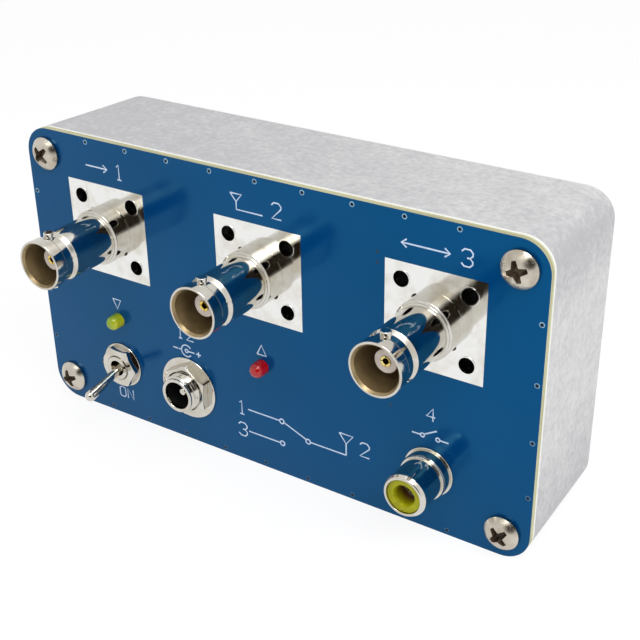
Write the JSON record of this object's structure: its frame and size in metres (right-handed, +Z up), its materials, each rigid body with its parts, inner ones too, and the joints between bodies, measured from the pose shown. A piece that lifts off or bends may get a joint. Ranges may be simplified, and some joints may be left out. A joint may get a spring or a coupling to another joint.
{
  "type": "coaxial antenna switch",
  "caption": "Die-cast box with a circuit-board front that carries coaxial jacks, a toggle switch, power and phono jacks and lamps, with switching relays inside.",
  "frame": {"origin": "middle of the underside of the whole switch, jacks included", "axes": "+X along the panel to the right as it is faced, +Z up, the panel and its jacks face -Y"},
  "size_m": [0.1116, 0.048, 0.0605],
  "materials": {
    "cast_aluminium": "tumbled die casting, satin",
    "board": "blue solder mask on glass fibre, glossy",
    "tin": "bright hot-air levelled solder or tin plate",
    "nickel": "bright nickel plate",
    "steel": "plain",
    "gold": "gold plate",
    "white_plastic": "smooth fluoropolymer",
    "black_plastic": "moulded",
    "yellow_plastic": "moulded, yellow-green",
    "green_lens": "diffused yellow-green resin",
    "red_lens": "diffused red resin",
    "relay_plastic": "moulded, light grey",
    "copper_wire": "enamelled copper winding",
    "can_aluminium": "drawn can",
    "ceramic": "ceramic with tinned ends",
    "wire_red": "insulated hook-up wire",
    "wire_black": "insulated hook-up wire"
  },
  "bodies": {
    "body": {"enclosure": "cast_aluminium", "front_panel": "board", "connector_pads": "tin", "stitching_vias": "board", "lid_screws": "nickel", "left_jack_shell": "nickel", "left_jack_insulator": "white_plastic", "left_jack_contact": "gold", "middle_jack_shell": "nickel", "middle_jack_insulator": "white_plastic", "middle_jack_contact": "gold", "right_jack_shell": "nickel", "right_jack_insulator": "white_plastic", "right_jack_contact": "gold", "toggle_bushing": "nickel", "toggle_washer": "nickel", "toggle_nut": "nickel", "toggle_pivot_pin": "steel", "toggle_terminals": "tin", "toggle_case": "black_plastic", "dc_jack_housing": "nickel", "dc_jack_washer": "nickel", "dc_jack_nut": "nickel", "dc_jack_liner": "black_plastic", "dc_jack_pin": "nickel", "dc_jack_spring": "tin", "dc_jack_lug": "tin", "rca_jack_shell": "nickel", "rca_jack_washer": "nickel", "rca_jack_insert": "yellow_plastic", "rca_jack_contact": "tin", "rca_ground_lug": "tin", "rca_jack_nut": "nickel", "receive_lamp": "green_lens", "transmit_lamp": "red_lens", "lamp_leads": "tin", "relay_1_base": "black_plastic", "relay_1_cover": "relay_plastic", "relay_1_coil": "copper_wire", "relay_1_yoke": "steel", "relay_2_base": "black_plastic", "relay_2_cover": "relay_plastic", "relay_2_coil": "copper_wire", "relay_2_yoke": "steel", "relay_contacts": "gold", "relay_pins": "tin", "voltage_regulator": "black_plastic", "filter_capacitor": "can_aluminium", "diodes": "black_plastic", "transistors": "black_plastic", "chip_resistors": "black_plastic", "chip_capacitors": "ceramic", "toggle_wires": "wire_red", "dc_jack_wires": "wire_black", "rca_jack_wires": "wire_red"},
    "lever": {"toggle_lever": "nickel", "toggle_plunger": "black_plastic"},
    "rocker": {"toggle_rocker": "gold"},
    "armature_1": {"relay_1_armature": "steel"},
    "armature_2": {"relay_2_armature": "steel"}
  },
  "joints": [
    {"name": "toggle", "type": "hinge", "parent": "body", "child": "lever", "pos_m": [-0.03585, -0.00453, 0.0123], "axis": [1, 0, 0], "range_deg": [-25.8, 0]},
    {"name": "toggle_rocker_pivot", "type": "hinge", "parent": "body", "child": "rocker", "pos_m": [-0.03585, 0.00081, 0.0123], "axis": [1, 0, 0], "range_deg": [0, 14]},
    {"name": "relay_1_armature_hinge", "type": "hinge", "parent": "body", "child": "armature_1", "pos_m": [-0.018, 0.00334, 0.04785], "axis": [1, 0, 0], "range_deg": [0, 4], "stiffness_Nm_per_rad": 0.002, "springref_deg": -11.46},
    {"name": "relay_2_armature_hinge", "type": "hinge", "parent": "body", "child": "armature_2", "pos_m": [0.018, 0.00334, 0.04785], "axis": [1, 0, 0], "range_deg": [0, 4], "stiffness_Nm_per_rad": 0.002, "springref_deg": -11.46}
  ],
  "couplings": [
    {"joint": "toggle_rocker_pivot", "follows": "toggle", "ratio": -0.54264}
  ]
}
